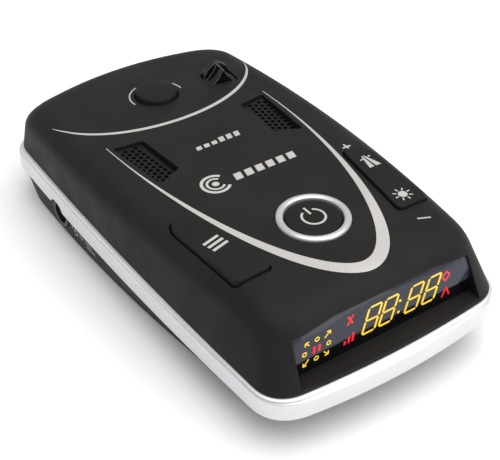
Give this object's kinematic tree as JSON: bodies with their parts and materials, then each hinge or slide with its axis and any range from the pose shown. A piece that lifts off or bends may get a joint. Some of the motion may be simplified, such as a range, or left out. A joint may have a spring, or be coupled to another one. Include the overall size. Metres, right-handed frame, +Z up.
{
  "type": "radar detector",
  "caption": "Flat dashboard radar detector: black two-part case with silver trim band, sloped display window, power key, menu key, rocker, release button and speaker grilles.",
  "frame": {"origin": "centre of the bounding box's bottom, on the surface the case stands on", "axes": "+Z up, +Y toward the windscreen end, +X to the driver's right"},
  "size_m": [0.0698, 0.1302, 0.0334],
  "materials": {
    "case_black": "fine satin texture",
    "band_silver": "satin silver paint on plastic",
    "key_black": "smooth satin",
    "ring_silver": "satin silver paint",
    "smoked_lens": "polished smoked acrylic",
    "black_part": "moulded",
    "board_green": "solder resist",
    "steel": "zinc plated",
    "horn_metal": "cast",
    "label": "satin film",
    "cone": "treated paper"
  },
  "bodies": {
    "case": {"upper_shell": "case_black", "trim_band": "band_silver", "lower_shell": "case_black", "display_bezel": "case_black", "display_lens": "smoked_lens", "display_panel": "black_part", "display_board": "board_green", "display_header": "black_part", "power_ring": "ring_silver", "rocker_pin": "steel", "release_spring": "steel", "bracket_socket": "black_part", "grille_left": "black_part", "grille_right": "black_part", "speaker_frame": "steel", "speaker_cone": "cone", "speaker_magnet": "steel", "rear_laser_lens": "smoked_lens", "front_laser_lens": "smoked_lens", "rear_laser_receiver": "black_part", "front_laser_receiver": "black_part", "horn_antenna": "horn_metal", "radio_shield": "steel", "main_board": "board_green", "main_chip": "black_part", "compass_sensor": "black_part", "dc_jack": "black_part", "power_switch": "black_part", "menu_switch": "black_part", "volume_down_switch": "black_part", "volume_up_switch": "black_part", "case_screw_1": "steel", "case_screw_2": "steel", "case_screw_3": "steel", "case_screw_4": "steel", "board_screw_1": "steel", "board_screw_2": "steel", "board_screw_3": "steel", "board_screw_4": "steel", "rating_label": "label"},
    "power_key": {"power_button": "key_black"},
    "menu_key_body": {"menu_key": "key_black"},
    "rocker_body": {"rocker_key": "key_black"},
    "release_body": {"release_button": "key_black", "release_latch": "black_part"}
  },
  "joints": [
    {"name": "power_press", "type": "slide", "parent": "case", "child": "power_key", "axis": [0, 0, -1], "range_m": [0, 0.0005], "stiffness_N_per_m": 600},
    {"name": "menu_press", "type": "slide", "parent": "case", "child": "menu_key_body", "axis": [0, 0, -1], "range_m": [0, 0.0005], "stiffness_N_per_m": 600},
    {"name": "rocker_tilt", "type": "hinge", "parent": "case", "child": "rocker_body", "pos_m": [0.02357, -0.0275, 0.02699], "axis": [1, 0, 0], "range_deg": [-2.2, 2.2], "stiffness_Nm_per_rad": 0.06},
    {"name": "release_press", "type": "slide", "parent": "case", "child": "release_body", "axis": [0, 0, -1], "range_m": [0, 0.0015], "stiffness_N_per_m": 500, "deforming": ["release_spring"]}
  ]
}
